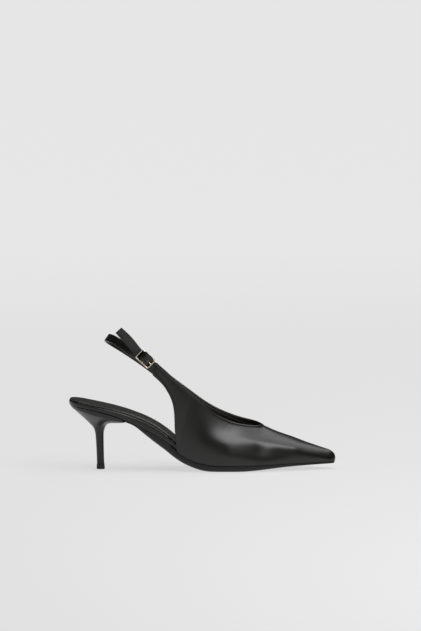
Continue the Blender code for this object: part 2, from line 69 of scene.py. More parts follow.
def place_camera():
    """A camera square to the outer side, aimed so that the shoe falls on its place in the image."""
    ahead = Vector((0.0, math.cos(CAMERA_ELEVATION), -math.sin(CAMERA_ELEVATION)))
    upward = Vector((0.0, math.sin(CAMERA_ELEVATION), math.cos(CAMERA_ELEVATION)))
    across = (IMAGE_MIDDLE[0] - SHOE_MIDDLE_COLUMN) * MM_PER_PIXEL
    above = (FLOOR_ROW - IMAGE_MIDDLE[1]) * MM_PER_PIXEL
    aim = Vector((across, 0.0, 0.0)) + upward * above
    lens = bpy.data.cameras.new("photo_camera")
    lens.sensor_fit = "VERTICAL"
    lens.angle_y = 2.0 * math.atan(0.5 * IMAGE_HEIGHT * MM_PER_PIXEL / CAMERA_DISTANCE)
    lens.clip_end = SIGHT_METRES
    camera = bpy.data.objects.new("photo_camera", lens)
    camera.location = (aim - ahead * CAMERA_DISTANCE) * MM
    camera.rotation_euler = (math.pi / 2.0 - CAMERA_ELEVATION, 0.0, 0.0)
    bpy.context.scene.collection.objects.link(camera)
    bpy.context.scene.camera = camera
    return camera


camera = place_camera()
print("camera at", [round(value, 3) for value in camera.location])

# %% [markdown]
# ## The last in tables
# A shoe is drawn over a last, and a last is known by its sections. These are the same rows that
# made the solids: stations along the sole, ribs of the upper from sole to ridge or topline, the
# strap's edges, the sling's middle line and the heel's sections, all in millimetres.

# %% Sole stations
STATION_COLUMNS = ("x", "outer", "inner", "tread", "welt", "board", "sock", "bevel")
STATIONS = (
    (128.2, 4.0, 4.0, 5.6, 7.3, 9.6, 11.2, 0.3),
    (127.0, -0.6, 8.6, 5.6, 7.3, 9.6, 11.2, 0.4),
    (122.5, -4.6, 12.4, 5.5, 7.3, 9.6, 11.3, 0.6),
    (114.0, -8.6, 15.9, 5.3, 7.3, 9.7, 11.5, 0.9),
    (100.0, -14.5, 21.5, 4.8, 7.1, 9.6, 11.6, 1.2),
    (84.0, -21.0, 27.6, 3.8, 6.9, 9.5, 11.5, 3.0),
    (68.0, -27.1, 32.7, 2.3, 6.5, 9.2, 11.3, 4.2),
    (54.0, -31.7, 36.0, 0.9, 6.2, 8.9, 11.0, 5.2),
    (40.0, -35.0, 36.8, 0.1, 6.0, 8.7, 10.9, 5.8),
    (26.0, -36.3, 36.2, 0.0, 6.0, 8.7, 10.9, 6.0),
    (12.0, -35.7, 34.0, 0.0, 6.4, 9.2, 11.5, 6.0),
    (0.0, -34.3, 31.6, 1.0, 8.0, 11.3, 13.7, 5.6),
    (-11.0, -32.8, 29.8, 4.4, 11.3, 15.4, 17.9, 5.4),
    (-20.0, -31.7, 28.9, 8.5, 16.2, 21.8, 24.4, 5.6),
    (-27.0, -30.5, 28.1, 12.6, 21.6, 28.8, 31.4, 6.6),
    (-35.0, -29.2, 27.2, 18.5, 28.6, 35.6, 38.0, 8.0),
    (-45.0, -27.4, 26.0, 25.9, 35.0, 42.4, 44.8, 8.6),
    (-56.0, -26.0, 25.4, 35.4, 40.6, 48.2, 50.6, 6.0),
    (-65.0, -25.6, 25.4, 43.2, 44.9, 51.8, 54.1, 3.0),
    (-73.8, -25.8, 25.8, 47.4, 48.9, 55.0, 57.2, 1.6),
    (-87.0, -27.0, 27.0, 52.5, 53.9, 59.0, 60.7, 1.6),
    (-100.0, -27.6, 27.6, 56.2, 57.6, 62.0, 63.5, 1.6),
    (-112.0, -25.8, 25.8, 58.8, 60.2, 64.5, 65.9, 1.6),
    (-121.0, -20.2, 20.2, 60.2, 61.6, 66.2, 67.7, 1.6),
    (-126.8, -12.0, 12.0, 60.9, 62.3, 67.2, 68.8, 1.6),
    (-128.8, 0.0, 0.0, 61.1, 62.5, 67.5, 69.2, 1.6),
)
OUTSOLE_LAST_ROW = 19
OUTLINE_OVERRUN = 8
GAP = 0.3
WALL = 1.6
SOLE_INSET = 0.4
BOARD_INSET_BACK = 0.2
BOARD_INSET_INSIDE = WALL + 2.0 * GAP
BOARD_STEP = (-34.0, -29.5)
SOCK_INSET = 0.8
print("sole stations:", len(STATIONS))

# %% Ribs of the upper
# station, top x, y and z, heading, belly, rise, crown, drop and roll
VAMP_RIBS = (
    (0.0, 123.2, 4.0, 17.9, 0.0, 1.4, 4.0, 4.5, 1.6, 0.0),
    (1.0, 120.5, 3.9, 19.2, 42.0, 1.6, 4.5, 4.8, 1.2, 0.0),
    (2.0, 116.0, 3.8, 20.6, 64.0, 2.2, 5.0, 5.6, 0.8, 0.0),
    (3.0, 108.5, 3.6, 23.0, 70.0, 3.0, 7.0, 8.2, 0.5, 0.0),
    (4.0, 97.0, 3.3, 27.0, 72.0, 4.2, 9.2, 11.8, 0.3, 0.0),
    (5.0, 84.0, 2.8, 32.1, 74.0, 5.2, 11.6, 16.4, 0.2, 0.2),
    (6.0, 70.5, 2.2, 37.1, 77.0, 6.1, 13.8, 20.0, 0.2, 0.5),
    (7.0, 57.5, 1.5, 43.5, 82.0, 6.7, 15.2, 22.8, 0.2, 0.9),
)
OUTER_RIBS = (
    (7.5, 55.4, -6.4, 43.4, 85.0, 6.7, 14.9, 18.2, 3.8, 0.4),
    (8.0, 50.8, -12.2, 43.3, 87.0, 6.8, 14.6, 15.2, 6.2, 0.2),
    (8.6, 43.4, -17.3, 44.4, 88.0, 7.0, 13.9, 12.7, 8.1, 0.0),
    (9.3, 33.0, -22.4, 46.7, 90.0, 7.0, 12.8, 9.8, 10.4, 0.0),
    (10.1, 22.0, -26.4, 51.0, 92.0, 6.8, 13.2, 8.0, 13.0, 0.0),
    (11.0, 11.5, -29.3, 57.4, 93.0, 6.2, 14.0, 6.0, 16.0, 0.0),
    (12.1, 0.5, -31.4, 67.4, 94.0, 5.2, 15.5, 4.0, 18.0, 0.0),
    (13.6, -10.0, -32.8, 77.0, 94.0, 4.2, 16.0, 2.2, 17.0, 0.0),
)
INNER_RIBS = (
    (7.5, 55.4, 9.2, 44.2, 85.0, 6.6, 14.9, 18.2, 3.8, 0.4),
    (8.0, 50.8, 14.9, 45.5, 87.0, 6.6, 14.6, 15.3, 6.4, 0.2),
    (8.6, 43.4, 19.7, 47.0, 88.0, 6.6, 13.9, 12.2, 8.6, 0.0),
    (9.3, 33.0, 24.0, 49.5, 90.0, 6.4, 12.8, 9.0, 10.4, 0.0),
    (10.1, 22.0, 27.2, 53.4, 92.0, 6.0, 13.2, 7.0, 13.0, 0.0),
    (11.0, 11.5, 29.3, 58.2, 93.0, 5.4, 14.0, 5.0, 15.5, 0.0),
    (12.1, 0.5, 30.6, 64.8, 94.0, 4.6, 15.0, 3.2, 16.5, 0.0),
    (13.6, -9.5, 31.4, 72.0, 94.0, 3.6, 15.0, 1.8, 15.5, 0.0),
)
# lower edge x, y and z, upper edge x, y and z, and bow
OUTER_STRAP = (
    (-25.8, -33.4, 35.0, -18.5, -33.5, 84.2, 1.6),
    (-26.2, -34.2, 50.0, -25.0, -33.8, 89.3, 0.9),
    (-27.8, -34.2, 63.5, -30.5, -33.9, 94.2, 0.5),
    (-32.0, -34.0, 75.2, -36.0, -33.8, 99.2, 0.3),
    (-38.7, -33.7, 85.8, -41.0, -33.5, 103.6, 0.2),
    (-45.1, -33.2, 93.6, -43.8, -33.1, 105.9, 0.1),
    (-51.2, -32.9, 101.2, -45.9, -32.9, 107.1, 0.0),
    (-54.2, -37.0, 104.4, -47.75, -37.0, 111.3, 0.0),
    (-57.0, -38.0, 107.5, -50.8, -38.0, 114.2, 0.0),
    (-60.3, -37.0, 110.1, -53.85, -37.0, 117.0, 0.0),
    (-63.6, -32.9, 112.9, -58.2, -32.9, 118.7, 0.0),
    (-73.4, -35.2, 123.6, -66.9, -35.2, 129.7, 0.0),
    (-83.3, -37.6, 135.0, -77.6, -37.6, 140.3, 0.0),
)
INNER_STRAP = (
    (-26.6, 30.9, 34.0, -18.2, 31.7, 78.5, 1.4),
    (-27.2, 31.9, 48.0, -23.8, 31.9, 82.6, 0.8),
    (-29.2, 32.0, 61.5, -28.4, 32.0, 86.0, 0.4),
    (-33.6, 32.0, 71.8, -33.0, 32.0, 89.4, 0.2),
    (-40.2, 31.9, 80.2, -37.9, 31.9, 92.8, 0.1),
    (-48.2, 31.7, 87.8, -42.8, 31.8, 96.4, 0.0),
)
print("ribs on the outer side:", len(VAMP_RIBS) + len(OUTER_RIBS) + len(OUTER_STRAP))

# %% Sling strap and heel
# middle line from the inner quarter round the back to the buckle
SLING = (
    (-35.0, 29.0, 82.8),
    (-48.0, 29.0, 94.0),
    (-64.0, 26.2, 105.9),
    (-79.0, 19.4, 116.4),
    (-88.6, 10.2, 123.2),
    (-91.8, 0.0, 127.0),
    (-89.4, -10.4, 127.9),
    (-82.0, -20.0, 125.2),
    (-71.5, -27.8, 118.6),
    (-63.5, -29.9, 113.6),
    (-59.4, -30.8, 111.6),
    (-55.3, -32.6, 109.6),
)
SLING_TILT = math.radians(35.0)
STRAP_WIDTH = 8.0
STRAP_THICKNESS = 1.6
# back x and z, front x and z, half width, and the power that squares the breast
HEEL = (
    (-127.3, 62.1, -74.2, 48.7, 27.0, 7.0),
    (-126.2, 60.3, -74.05, 46.8, 26.3, 7.0),
    (-122.6, 57.1, -77.0, 46.0, 23.8, 6.0),
    (-118.0, 53.0, -82.5, 45.5, 19.6, 4.6),
    (-113.0, 48.4, -88.4, 44.9, 14.4, 3.2),
    (-108.3, 43.8, -91.8, 43.3, 9.4, 2.5),
    (-105.3, 40.4, -93.6, 40.8, 6.6, 2.1),
    (-103.9, 37.0, -94.8, 37.0, 5.0, 2.0),
    (-103.1, 32.5, -95.2, 32.5, 4.2, 2.0),
    (-102.4, 22.0, -95.1, 22.0, 3.7, 2.0),
    (-101.9, 10.0, -94.8, 10.0, 3.6, 2.0),
    (-101.8, 5.0, -94.5, 5.0, 3.7, 2.0),
)
HEEL_BACK_ROUND = 2.15
# height, back x, front x and half width
TIP = (
    (4.7, -101.9, -94.4, 3.80),
    (0.4, -102.1, -94.1, 4.05),
    (0.0, -101.8, -94.4, 3.75),
)
BUCKLE_CENTRE = Vector((-54.85, -34.6, 109.8))
BUCKLE_ANGLE = math.radians(43.0)
BUCKLE_LENGTH = 17.0
BUCKLE_WIDTH = 11.4
BUCKLE_BAR = 1.3
print("heel sections:", len(HEEL))

# %% [markdown]
# ## Smooth curves through the rows
# Leather bends in one sweep, so the rows are joined by a natural cubic spline, whose curvature has
# no jumps and gives clean reflections. The sole's outline is one closed curve: the outer side from
# heel to toe, then the inner side back, run over at the ends so that heel and toe close smoothly.

# %% Curve helpers
class SmoothCurve:
    """A natural cubic spline through table rows, read by row number."""

    def __init__(self, rows):
        self.values = np.array(rows, dtype=float)
        count = len(self.values)
        matrix = np.eye(count)
        right = np.zeros_like(self.values)
        for row in range(1, count - 1):
            matrix[row, row - 1:row + 2] = (1.0, 4.0, 1.0)
            right[row] = 6.0 * (self.values[row + 1] - 2.0 * self.values[row] + self.values[row - 1])
        self.bends = np.linalg.solve(matrix, right)

    def at(self, place):
        row = min(max(int(math.floor(place)), 0), len(self.values) - 2)
        after = place - row
        before = 1.0 - after
        bend = (before ** 3 - before) * self.bends[row] + (after ** 3 - after) * self.bends[row + 1]
        return before * self.values[row] + after * self.values[row + 1] + bend / 6.0


def steps_through(rows, steps):
    """Row numbers that step evenly through a table, ending on its last row."""
    return [number / steps for number in range((rows - 1) * steps + 1)]


def smooth_step(low, high, value):
    """A soft step from 0 at low to 1 at high."""
    t = min(max((value - low) / (high - low), 0.0), 1.0)
    return t * t * (3.0 - 2.0 * t)


def closed_outline():
    outer = [(row[0], row[1], *row[3:]) for row in reversed(STATIONS)]
    inner = [(row[0], row[2], *row[3:]) for row in STATIONS[1:]]
    ring = outer + inner
    over = OUTLINE_OVERRUN
    return SmoothCurve(ring[-over - 1:-1] + ring + ring[1:over + 1])


NUDGE = 0.02
OUTLINE = closed_outline()
OUTLINE_TOE = OUTLINE_OVERRUN + len(STATIONS) - 1
HEEL_ROW = len(STATIONS) - 1


def outline_at(station, outer):
    """Outline point at a station, its outward normal in plan, and the layer heights there."""
    place = OUTLINE_TOE - station if outer else OUTLINE_TOE + station
    along = OUTLINE.at(place + NUDGE)[:2] - OUTLINE.at(place - NUDGE)[:2]
    normal = np.array((along[1], -along[0])) / np.linalg.norm(along)
    x, y, *heights = OUTLINE.at(place)
    heights = dict(zip(STATION_COLUMNS[3:], heights))
    heights["tread"] = max(heights["tread"], 0.0)
    return np.array((x, y)), normal, heights


print("toe of the outline at", OUTLINE.at(OUTLINE_TOE)[:2].round(1))

# %% [markdown]
# ## Turning rings into pieces
# Sole layers, heel and straps are all lofts: rings of points joined by quads. One helper makes the
# mesh, shades it smooth and leaves sharp only what is truly a corner; another puts the piece in the
# scene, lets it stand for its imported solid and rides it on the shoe's body.

# %% Mesh helpers
SHARP_ANGLE = math.radians(46.0)
WELD = 0.002


def smooth_mesh(shape, name):
    """A smooth shaded mesh in metres from a bmesh in millimetres."""
    bmesh.ops.scale(shape, vec=(MM, MM, MM), verts=shape.verts)
    mesh = bpy.data.meshes.new(name)
    shape.to_mesh(mesh)
    shape.free()
    mesh.shade_smooth()
    return mesh


def solid_mesh(shape, name):
    """A closed mesh with its points welded, its faces turned outward and true corners kept sharp."""
    bmesh.ops.remove_doubles(shape, verts=shape.verts, dist=WELD)
    bmesh.ops.recalc_face_normals(shape, faces=shape.faces)
    mesh = smooth_mesh(shape, name)
    mesh.set_sharp_from_angle(angle=SHARP_ANGLE)
    return mesh


def loft(name, sections, cap_start, cap_end):
    """A mesh through rings with equal numbers of points."""
    shape = bmesh.new()
    rings = [[shape.verts.new(point) for point in section] for section in sections]
    for first, second in zip(rings, rings[1:]):
        for index in range(len(first)):
            following = (index + 1) % len(first)
            shape.faces.new((first[index], first[following], second[following], second[index]))
    if cap_start:
        shape.faces.new(rings[0])
    if cap_end:
        shape.faces.new(rings[-1])
    return solid_mesh(shape, name)


def add_piece(name, data, slot, material, *nodes):
    """Put a piece in the scene, on the shoe's body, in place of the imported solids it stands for."""
    piece = bpy.data.objects.new(name, data)
    bpy.context.scene.collection.objects.link(piece)
    piece.data.materials.append(material)
    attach(piece, BODY)
    if nodes:
        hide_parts(*nodes)
    print(name, "has", len(data.polygons), "faces")
    return piece


print("edges sharper than", round(math.degrees(SHARP_ANGLE)), "degrees stay sharp")

# %% [markdown]
# ## Writing shader maths as sums
# A finish is a small sum: grain here, a little more gloss there. The class below wraps one output of
# a shader node, so that `0.3 + 0.1 * cloud` adds the Math nodes by itself, and every other node comes
# from one method that takes the node's type, its settings and what its sockets hold.

# %% Shader helpers
MIX_COLOUR_INPUTS = (0, 6, 7)
MIX_COLOUR_OUTPUT = 2


class Wire:
    """One output of a shader node; arithmetic on it adds Math nodes."""

    def __init__(self, finish, socket):
        self.finish = finish
        self.socket = socket

    def math(self, operation, first, second):
        return self.finish.node("ShaderNodeMath", {"operation": operation}, {0: first, 1: second})

    def __add__(self, other):
        return self.math("ADD", self, other)

    def __radd__(self, other):
        return self.math("ADD", other, self)

    def __sub__(self, other):
        return self.math("SUBTRACT", self, other)

    def __rsub__(self, other):
        return self.math("SUBTRACT", other, self)

    def __mul__(self, other):
        return self.math("MULTIPLY", self, other)

    def __rmul__(self, other):
        return self.math("MULTIPLY", other, self)


class Finish:
    """A material being mixed, with its Principled shader at hand."""

    def __init__(self, name):
        self.material = bpy.data.materials.new(name)
        self.material.use_nodes = True
        self.tree = self.material.node_tree
        self.shader = self.tree.nodes["Principled BSDF"]

    def plug(self, socket, value):
        """Link a wire to a socket, or set the socket's own value."""
        if isinstance(value, Wire):
            self.tree.links.new(value.socket, socket)
        else:
            socket.default_value = value

    def node(self, kind, settings=None, sockets=None, output=0):
        """Add a node: settings first, then the values or links of its sockets."""
        made = self.tree.nodes.new(kind)
        for key, value in (settings or {}).items():
            setattr(made, key, value)
        for key, value in (sockets or {}).items():
            self.plug(made.inputs[key], value)
        return Wire(self, made.outputs[output])

    def place(self):
        """The point on the piece in metres, the same from every side."""
        return self.node("ShaderNodeTexCoord", output="Object")

    def cloud(self, size_mm, detail=3.0, stretch=(1.0, 1.0, 1.0)):
        """Soft noise of a given size, from 0 to 1."""
        where = self.node("ShaderNodeMapping", {"vector_type": "POINT"},
                          {"Vector": self.place(), "Scale": stretch})
        return self.node("ShaderNodeTexNoise", {},
                         {"Vector": where, "Scale": 1.0 / (size_mm * MM), "Detail": detail})

    def cells(self, size_mm):
        """Round cells of a given size, as the pores of leather."""
        return self.node("ShaderNodeTexVoronoi", {"feature": "SMOOTH_F1"},
                         {"Vector": self.place(), "Scale": 1.0 / (size_mm * MM)})

    def bump(self, height, depth_mm, strength):
        """Raise the surface by a height of 0 to 1, as deep as stated."""
        sockets = {"Height": height, "Distance": depth_mm * MM, "Strength": strength}
        self.plug(self.shader.inputs["Normal"], self.node("ShaderNodeBump", {}, sockets))

    def tint(self, dark, light, share):
        """A colour between two, by a wire of 0 to 1."""
        factor, first, second = MIX_COLOUR_INPUTS
        sockets = {factor: share, first: (*dark, 1.0), second: (*light, 1.0)}
        return self.node("ShaderNodeMix", {"data_type": "RGBA"}, sockets, MIX_COLOUR_OUTPUT)

    def set(self, **values):
        """Set or link inputs of the Principled shader, spaces written as underscores."""
        for key, value in values.items():
            self.plug(self.shader.inputs[key.replace("_", " ")], value)


print("shader helpers ready")

# %% [markdown]
# ## Black calf leather
# The upper is smooth calf with a low sheen: almost black, with pores under a millimetre that only
# break up the reflections, slow changes of gloss where hands have rubbed it, and a thin polish coat.
# Bump makes the pores, because they are far finer than the mesh could carry.

# %% Leather finishes
RUBBED_MM = 26.0
STREAK_MM = 7.0
STREAK_STRETCH = (0.35, 1.0, 1.0)
FINE_SHARE = 0.45
LIGHTER = 1.5
GRAIN_STRENGTH = 0.55
POLISH_ROUGHNESS = 0.28


def leather(name, colour, gloss, pore_mm, depth_mm, polish):
    """Leather of a dark colour, with pores of a given size and depth and a thin coat of polish."""
    finish = Finish(name)
    pores = finish.cells(pore_mm)
    fine = finish.cloud(FINE_SHARE * pore_mm, 4.0)
    rubbed = finish.cloud(RUBBED_MM, 2.0)
    streaks = finish.cloud(STREAK_MM, 3.0, STREAK_STRETCH)
    finish.bump(0.65 * pores + 0.35 * fine, depth_mm, GRAIN_STRENGTH)
    light = tuple(LIGHTER * value for value in colour)
    finish.set(Base_Color=finish.tint(colour, light, 0.55 * rubbed + 0.45 * fine))
    finish.set(Roughness=gloss - 0.05 + 0.07 * rubbed + 0.05 * streaks)
    finish.set(Specular_IOR_Level=0.5, Coat_Weight=polish, Coat_Roughness=POLISH_ROUGHNESS)
    return finish.material


CALF_BLACK = (0.0026, 0.0023, 0.0018)
upper_leather = leather("calf_upper", CALF_BLACK, 0.31, 0.75, 0.012, 0.10)
strap_leather = leather("calf_strap", CALF_BLACK, 0.33, 0.70, 0.014, 0.10)
cover_leather = leather("calf_heel_cover", CALF_BLACK, 0.32, 0.80, 0.012, 0.10)
board_leather = leather("calf_board_cover", CALF_BLACK, 0.33, 0.75, 0.012, 0.12)
# The sock's colour is lighter than the calf's: partly its own tone, partly a painted sheen that stands in
# for the grazing reflection on its top.
sock_leather = leather("sheepskin_sock", (0.0150, 0.0142, 0.0128), 0.42, 0.95, 0.045, 0.05)
lining_leather = leather("pigskin_lining", (0.022, 0.020, 0.017), 0.50, 1.10, 0.060, 0.0)
LEATHERS = (upper_leather, strap_leather, cover_leather, board_leather, sock_leather, lining_leather)
print("leathers:", [item.name for item in LEATHERS])

# %% [markdown]
# ## Sole, top piece and gilt
# The thin sole is lacquered black with faint scuffs along it, and the heel's top piece is dull rubber.
# The buckle is a pale gilt brass with fine polishing lines. In each finish one noise moves colour and
# gloss together, because wear changes both at the same place.

# %% Other finishes
def sole_lacquer():
    finish = Finish("sole_lacquer")
    cloud = finish.cloud(3.0, 4.0)
    scuffs = finish.cloud(1.2, 5.0, (0.15, 1.0, 1.0))
    finish.bump(scuffs, 0.02, 0.4)
    finish.set(Base_Color=finish.tint((0.006, 0.006, 0.006), (0.013, 0.012, 0.012), cloud))
    finish.set(Roughness=0.38 + 0.14 * cloud, Specular_IOR_Level=0.30)
    return finish.material


def tip_rubber():
    finish = Finish("top_piece_rubber")
    speckle = finish.cloud(0.5, 4.0)
    finish.bump(speckle, 0.04, 0.5)
    finish.set(Base_Color=finish.tint((0.005, 0.005, 0.005), (0.010, 0.010, 0.010), speckle))
    finish.set(Roughness=0.58 + 0.16 * speckle)
    return finish.material


def gilt_brass():
    finish = Finish("gilt_brass")
    lines = finish.cloud(0.6, 4.0, (0.2, 1.0, 3.0))
    finish.bump(lines, 0.004, 0.3)
    finish.set(Base_Color=finish.tint((0.74, 0.64, 0.50), (0.86, 0.78, 0.65), lines))
    finish.set(Metallic=1.0, Roughness=0.30 + 0.10 * lines)
    return finish.material


sole_finish = sole_lacquer()
tip_finish = tip_rubber()
gilt_finish = gilt_brass()
print("other finishes:", [item.name for item in (sole_finish, tip_finish, gilt_finish)])

# %% [markdown]
# ## Sole, covered board and padded sock
# Three layers follow one outline. Each is a row of sections: a side profile on the outer edge, the
# same profile on the inner edge, and a few points over the top so that the sock can swell a little.
# The sock's edge is a turned bead with a groove behind it, which is drawn in the profile, because it
# catches the light as a line of its own in the photograph. Thin foam lies under the sock's leather.

# %% Sole layers
SOLE_STEPS = 8
TOP_POINTS = 9
SWELL_WIDTH = 30.0
SOCK_SWELL = 0.35
# inset, further inset as a share of the bevel, and depth as a share of the sole's thickness
SOLE_EDGE = (
    (0.5, 0.0, 0.0),
    (0.12, 0.0, 0.04),
    (0.0, 0.0, 0.14),
    (0.0, 0.12, 0.40),
    (0.0, 0.28, 0.62),
    (0.0, 0.45, 0.80),
    (0.0, 0.68, 0.93),
    (0.2, 1.0, 1.0),
)
# inset and height as a share of the layer's thickness, from the top down
BOARD_EDGE = (
    (0.9, 1.0),
    (0.4, 0.97),
    (0.08, 0.88),
    (0.0, 0.72),
    (0.04, 0.50),
    (0.08, 0.25),
    (0.25, 0.08),
    (0.6, 0.0),
)
SOCK_EDGE = (
    (3.4, 1.0),
    (2.2, 0.97),
    (1.75, 0.82),
    (1.45, 0.62),
    (1.15, 0.80),
    (0.75, 0.86),
    (0.30, 0.74),
    (0.0, 0.46),
    (0.10, 0.18),
    (0.35, 0.0),
)


def layer_rings(side_shape, swell, stations):
    """Sections of a layer: outer side down, inner side up, then back over a slightly swelled top."""
    rings = []
    for station in stations:
        sides = []
        for outer in (True, False):
            point, normal, heights = outline_at(station, outer)
            shape = side_shape(point[0], heights)
            sides.append([np.array((*(point - normal * inset), height)) for inset, height in shape])
        down, up = sides[0], sides[1][::-1]
        width = np.linalg.norm(up[-1] - down[0])
        over = []
        for number in range(1, TOP_POINTS):
            share = number / TOP_POINTS
            rise = swell * min(width / SWELL_WIDTH, 1.0) * (1.0 - (2.0 * share - 1.0) ** 4)
            over.append(up[-1] + (down[0] - up[-1]) * share + np.array((0.0, 0.0, rise)))
        rings.append(down + up + over)
    return rings


def outsole_side(_x, heights):
    thick = heights["welt"] - heights["tread"]
    return [(SOLE_INSET + inset + lean * heights["bevel"], heights["welt"] - share * thick)
            for inset, lean, share in SOLE_EDGE]


def board_inset(x):
    return BOARD_INSET_BACK + (BOARD_INSET_INSIDE - BOARD_INSET_BACK) * smooth_step(*BOARD_STEP, x)


def board_side(x, heights):
    inset = board_inset(x)
    bottom = heights["welt"] + GAP
    height = heights["board"] - bottom
    return [(inset + step, bottom + share * height) for step, share in BOARD_EDGE]


def sock_side(x, heights):
    inset = board_inset(x) + SOCK_INSET * (1.0 - smooth_step(*BOARD_STEP, x))
    bottom = heights["board"] + GAP
    height = heights["sock"] - bottom
    return [(inset + step, bottom + share * height) for step, share in SOCK_EDGE]


def sole_layer(name, side_shape, swell, last_row):
    stations = steps_through(last_row + 1, SOLE_STEPS)
    return loft(name, layer_rings(side_shape, swell, stations), False, last_row < HEEL_ROW)


outsole = add_piece("outsole_dressed", sole_layer("outsole_dressed", outsole_side, 0.0, OUTSOLE_LAST_ROW),
                    "sole", sole_finish, "outsole")
board = add_piece("board_dressed", sole_layer("board_dressed", board_side, 0.0, HEEL_ROW),
                  "board_cover", board_leather, "insole_board")
sock = add_piece("sock_dressed", sole_layer("sock_dressed", sock_side, SOCK_SWELL, HEEL_ROW),
                 "sock", sock_leather, "insole")

# %% [markdown]
# ## Heel and top piece
# The heel is turned and covered: a wide cup under the seat, square at the breast and round behind,
# that runs in one curve down to a pin about as thick as a pencil. Each section is a
# superellipse, whose power makes the breast square at the seat and round on the pin. The top section
# is lifted onto the seat's curve and the lift fades out one row below.

# %% Heel
HEEL_STEPS = 8
HEEL_POINTS = 72
ELLIPSE = 2.0
seat_rows = [outline_at(station, True) for station in steps_through(len(STATIONS), SOLE_STEPS)]
SEAT_X = np.array([point[0] for point, _normal, _heights in seat_rows])[::-1]
SEAT_Z = np.array([heights["welt"] - GAP for _point, _normal, heights in seat_rows])[::-1]


def heel_ring(back, front, back_z, front_z, half_width, square, lift=0.0):
    """A section with a round back and a breast that is squarer for higher powers."""
    middle = 0.5 * (back + front)
    reach = 0.5 * (front - back)
    ring = []
    for index in range(HEEL_POINTS):
        angle = 2.0 * math.pi * index / HEEL_POINTS
        power = square if math.cos(angle) > 0.0 else min(square, HEEL_BACK_ROUND)
        x = middle + reach * math.copysign(abs(math.cos(angle)) ** (2.0 / power), math.cos(angle))
        y = half_width * math.copysign(abs(math.sin(angle)) ** (2.0 / power), math.sin(angle))
        z = back_z + (front_z - back_z) * (x - back) / (front - back)
        ring.append((x, y, z + lift * (np.interp(x, SEAT_X, SEAT_Z) - z)))
    return ring


def build_heel(name):
    curve = SmoothCurve(HEEL)
    rings = []
    for place in steps_through(len(HEEL), HEEL_STEPS):
        back, back_z, front, front_z, half_width, square = curve.at(place)
        lift = 1.0 - smooth_step(0.0, 1.0, place)
        rings.append(heel_ring(back, front, back_z, front_z, half_width, max(square, ELLIPSE), lift))
    return loft(name, rings, True, True)


def build_tip(name):
    rings = [heel_ring(back, front, z, z, half_width, ELLIPSE) for z, back, front, half_width in TIP]
    return loft(name, rings, True, True)


heel = add_piece("heel_dressed", build_heel("heel_dressed"), "heel_cover", cover_leather, "heel")
tip = add_piece("tip_dressed", build_tip("tip_dressed"), "tip", tip_finish, "heel_tip")

# %% [markdown]
# ## The upper
# Vamp and quarters are one sheet, stretched over the last. Every rib is a Bezier curve from the sole's
# edge up to the ridge or the topline, with handles that set how full the leather is. A lofted net of
# patches would do too, but ribs can be read and corrected one at a time. Points crowd towards the
# edges, because there the leather is folded over later.

# %% The upper's two sides
RIB_STEPS = 10
VAMP_STEPS = 20
VAMP_SPAN = (2.0, 7.0)
EDGE_STEPS = np.array((0.0, 0.55, 0.9, 1.3, 1.8, 2.4, 3.1, 4.0))
FOOT_STEPS = np.array((0.0, 0.55, 0.9, 1.3, 1.8, 2.4))
BODY_CELLS = 16
RIB_LEAN = 0.3


